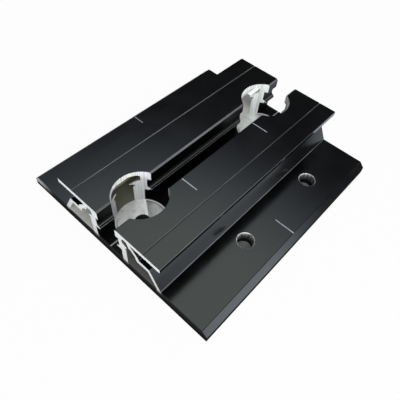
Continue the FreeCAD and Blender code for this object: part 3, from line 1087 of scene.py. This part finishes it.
def order_faces(work):
    """Sorts the faces by their places, so that each run gives them in the same order."""
    in_order = sorted(work.faces, key=lambda face: tuple(face.calc_center_median()))
    ranks = {face: rank for rank, face in enumerate(in_order)}
    work.faces.sort(key=ranks.get)


def finish_piece(work, piece, node):
    """Shades large faces flat and narrow curved ones smooth, and hands the piece over."""
    work.normal_update()
    order_faces(work)
    work.to_mesh(piece.data)
    work.free()
    stale = piece.data.attributes.get("custom_normal")
    if stale:
        piece.data.attributes.remove(stale)
    piece.data.set_sharp_from_angle(angle=SMOOTH_TURN)
    for face in piece.data.polygons:
        face.use_smooth = face.area < CURVED_FACE
    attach(piece, "root")
    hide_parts(node)


def dress_base(settings):
    """Replaces the extrusion by a copy with broken edges and a finish on every face."""
    shape = settings.shape
    low, high = (Vector(corner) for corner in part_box("mount_base"))
    work, piece = merged_copy("mount_base", "extruded_base")
    cut_ends(work, high.y, shape.plate_top)
    layer = work.faces.layers.int.new("finish")
    mark_finishes(work, layer, shape, low, high)
    spread_chamber(work, layer, shape)
    break_edges(work, layer, shape)
    for material in base_materials(settings):
        piece.data.materials.append(material)
    for face in work.faces:
        face.material_index = face[layer]
    finish_piece(work, piece, "mount_base")


def dress_pad(settings):
    """Replaces the sealing pad by a copy in rubber."""
    work, piece = merged_copy("sealing_pad", "rubber_pad")
    piece.data.materials.append(pad_material(settings.pad))
    for face in work.faces:
        face.material_index = 0
    finish_piece(work, piece, "sealing_pad")


# The stage
def area_lamp(name, place, width, watts, tint):
    """A square softbox that looks at the base."""
    data = bpy.data.lights.new(name, "AREA")
    data.shape = "SQUARE"
    data.size = width
    data.energy = watts
    data.color = tint
    lamp = bpy.data.objects.new(name, data)
    lamp.location = place
    way = Vector(LAMP_AIM) - Vector(place)
    lamp.rotation_euler = way.to_track_quat("-Z", "Y").to_euler()
    bpy.context.scene.collection.objects.link(lamp)


def outside_bearings(wires, across, along):
    """1 beside the dark sector of bearings, where the studio is light, and 0 inside it."""
    bearing = wires.maths("ARCTAN2", along, across)
    start, end = DARK_BEARINGS
    before = wires.ramp(bearing, start - BEARING_FADE, start + BEARING_FADE, 1.0, 0.0)
    after = wires.ramp(bearing, end - BEARING_FADE, end + BEARING_FADE, 0.0, 1.0)
    return wires.maths("MAXIMUM", before, after)


def seen_straight(path):
    """The rays that show the background itself, from the camera or through a clear piece."""
    return path.outputs["Is Camera Ray"], path.outputs["Is Transmission Ray"]


def floor_material(light):
    """A pale floor that reads as white paper and keeps the shadow; under the base its colour is darker,
    a painted shade seen through the holes, and in gloss a strip around the base is dark, a painted
    shadow.
    """
    material, wires = new_material("pale_floor")
    half_width, half_length = CAD_BOX[1][:2]
    across, along = wires.axes("X", "Y")
    past_side = wires.maths("SUBTRACT", wires.maths("ABSOLUTE", across), half_width)
    past_end = wires.maths("SUBTRACT", wires.maths("ABSOLUTE", along), half_length)
    past = wires.maths("MAXIMUM", past_side, past_end)
    clear = wires.maths("GREATER_THAN", past, -FLOOR_TUCK)
    path = wires.add("ShaderNodeLightPath")
    direct = wires.maths("MAXIMUM", *seen_straight(path))
    gloss = path.outputs["Is Glossy Ray"]
    # A painted shadow: in gloss the floor is dark in a strip around the base
    beyond_gloss_shadow = wires.ramp(past, *GLOSS_SHADOW_STRIP)
    in_gloss = wires.maths("MULTIPLY", outside_bearings(wires, across, along), beyond_gloss_shadow)
    white = wires.add("ShaderNodeEmission")
    wires.feed(white.inputs["Color"], wires.blend(gloss, grey(1.0), rgba(light.floor_gloss)))
    wires.feed(white.inputs["Strength"], wires.maths("MAXIMUM", direct, in_gloss))
    # A painted shade: the floor's colour under the base is darker
    tone = wires.blend(clear, rgba(light.under), rgba(light.floor))
    matt = wires.add("ShaderNodeBsdfDiffuse", {"Color": tone})
    paper = wires.ramp(past, *PAPER_FADE, PAPER_NEAR, 1.0)
    seen = wires.maths("MAXIMUM", direct, gloss)
    share = wires.maths("MULTIPLY", seen, wires.maths("MULTIPLY", clear, paper))
    mixer = wires.add("ShaderNodeMixShader")
    for socket, value in zip(mixer.inputs, (share, matt.outputs[0], white.outputs[0])):
        wires.feed(socket, value)
    wires.add("ShaderNodeOutputMaterial", {"Surface": mixer.outputs[0]})
    return material


def lay_floor(light):
    """A wide level floor under the base."""
    work = bmesh.new()
    bmesh.ops.create_grid(work, x_segments=1, y_segments=1, size=FLOOR_HALF)
    mesh = bpy.data.meshes.new("floor")
    work.to_mesh(mesh)
    work.free()
    mesh.materials.append(floor_material(light))
    floor = bpy.data.objects.new("floor", mesh)
    bpy.context.scene.collection.objects.link(floor)


def pointing(bearing, rise):
    """The direction of a place in the studio."""
    flat = math.cos(rise)
    return Vector((math.cos(bearing) * flat, math.sin(bearing) * flat, math.sin(rise)))


def overhead_panel(wires, direction):
    """A round soft-edged panel, nearly overhead."""
    toward = wires.vector_maths("DOT_PRODUCT", direction, pointing(*OVERHEAD_PLACE))
    inner, outer = OVERHEAD_EDGE
    return wires.ramp(toward, math.cos(outer), math.cos(inner))


def right_panel(wires, direction):
    """A tall soft-edged panel at the right, leaning back."""
    centre = pointing(*RIGHT_PLACE)
    side = Vector((-centre.y, centre.x, 0.0)).normalized()
    top = centre.cross(side)
    turn = Matrix.Rotation(-RIGHT_LEAN, 3, centre)
    ahead = wires.vector_maths("DOT_PRODUCT", direction, centre)
    mask = wires.maths("GREATER_THAN", ahead, LEAST_AHEAD)
    for axis, half, edge in ((turn @ side, *RIGHT_WIDTH), (turn @ top, *RIGHT_HEIGHT)):
        off = wires.vector_maths("DOT_PRODUCT", direction, axis)
        off = wires.maths("ABSOLUTE", wires.maths("DIVIDE", off, ahead))
        mask = wires.maths("MULTIPLY", mask, wires.ramp(off, half - edge, half + edge, 1.0, 0.0))
    return mask


def light_world(light):
    """White behind the object; two panels, an even fill, and a dark room for gloss."""
    world = bpy.data.worlds.new("studio")
    bpy.context.scene.world = world
    world.use_nodes = True
    world.node_tree.nodes.clear()
    wires = Wiring(world.node_tree)
    direction = wires.add("ShaderNodeTexCoord").outputs["Generated"]
    path = wires.add("ShaderNodeLightPath")
    fill = wires.blend(path.outputs["Is Glossy Ray"], grey(light.fill), grey(ROOM_GLOSS))
    mask = overhead_panel(wires, direction)
    tint = wires.blend(mask, rgba(light.rim_tint), rgba(light.tint))
    overhead = wires.scaled(tint, wires.maths("MULTIPLY", mask, light.overhead))
    side_level = wires.maths("MULTIPLY", right_panel(wires, direction), light.side)
    side = wires.scaled(rgba(light.side_tint), side_level)
    total = wires.vector_maths("ADD", wires.vector_maths("ADD", overhead, side), fill)
    seen = wires.maths("MAXIMUM", *seen_straight(path))
    background = wires.add("ShaderNodeBackground", {"Color": wires.blend(seen, total, grey(1.0))})
    wires.add("ShaderNodeOutputWorld", {"Surface": background.outputs[0]})


def set_camera():
    """The photograph's view, from above the front right corner."""
    data = bpy.data.cameras.new("view")
    data.sensor_width = VIEW_SENSOR
    data.lens = VIEW_LENS
    data.clip_start, data.clip_end = VIEW_CLIP
    camera = bpy.data.objects.new("view", data)
    back = Vector(VIEW_BACK).normalized()
    up = back.cross(Vector(VIEW_RIGHT)).normalized()
    turn = Matrix((up.cross(back), up, back)).transposed().to_4x4()
    camera.matrix_world = Matrix.Translation(VIEW_PLACE) @ turn
    bpy.context.scene.collection.objects.link(camera)
    bpy.context.scene.camera = camera


def set_stage(light):
    """Floor, world, softboxes, camera and plain colours."""
    lay_floor(light)
    light_world(light)
    for name, place, width, power in LAMPS:
        area_lamp(name, place, width, getattr(light, power), light.lamp_tint)
    set_camera()
    bpy.context.scene.view_settings.view_transform = "Standard"


# Operators
class ROOF_MOUNT_OT_mix_effects(bpy.types.Operator):
    """Build the node groups that the materials share"""

    bl_idname = "roof_mount.mix_effects"
    bl_label = "Mix shared effects"

    def execute(self, context):
        streak_group()
        grain_group()
        return {"FINISHED"}


class ROOF_MOUNT_OT_dress_base(bpy.types.Operator):
    """Give the extrusion its black skin and its bare cut faces"""

    bl_idname = "roof_mount.dress_base"
    bl_label = "Dress extruded base"

    def execute(self, context):
        dress_base(context.scene.roof_mount)
        return {"FINISHED"}


class ROOF_MOUNT_OT_dress_pad(bpy.types.Operator):
    """Give the sealing pad its rubber"""

    bl_idname = "roof_mount.dress_pad"
    bl_label = "Dress sealing pad"

    def execute(self, context):
        dress_pad(context.scene.roof_mount)
        return {"FINISHED"}


class ROOF_MOUNT_OT_set_stage(bpy.types.Operator):
    """Lay the floor, hang the lamps and place the camera"""

    bl_idname = "roof_mount.set_stage"
    bl_label = "Set stage"

    def execute(self, context):
        set_stage(context.scene.roof_mount.light)
        return {"FINISHED"}


class VIEW3D_PT_roof_mount(bpy.types.Panel):
    """Lists the steps that dress the base"""

    bl_label = "Roof mount base"
    bl_idname = "VIEW3D_PT_roof_mount"
    bl_space_type = "VIEW_3D"
    bl_region_type = "UI"
    bl_category = "Roof mount"

    def draw(self, context):
        for step in STEPS:
            self.layout.operator(step.bl_idname)


STEPS = (
    ROOF_MOUNT_OT_mix_effects,
    ROOF_MOUNT_OT_dress_base,
    ROOF_MOUNT_OT_dress_pad,
    ROOF_MOUNT_OT_set_stage,
)
GROUPS = (BaseShape, AnodisedFinish, BareMetal, PadFinish, StudioLight, RoofMountSettings)
CLASSES = GROUPS + STEPS + (VIEW3D_PT_roof_mount,)


def register():
    for item in CLASSES:
        bpy.utils.register_class(item)
    bpy.types.Scene.roof_mount = PointerProperty(type=RoofMountSettings)


def unregister():
    del bpy.types.Scene.roof_mount
    for item in reversed(CLASSES):
        bpy.utils.unregister_class(item)


def main():
    register()
    bpy.ops.roof_mount.mix_effects()
    bpy.ops.roof_mount.dress_base()
    bpy.ops.roof_mount.dress_pad()
    bpy.ops.roof_mount.set_stage()


if __name__ == "__main__":
    main()
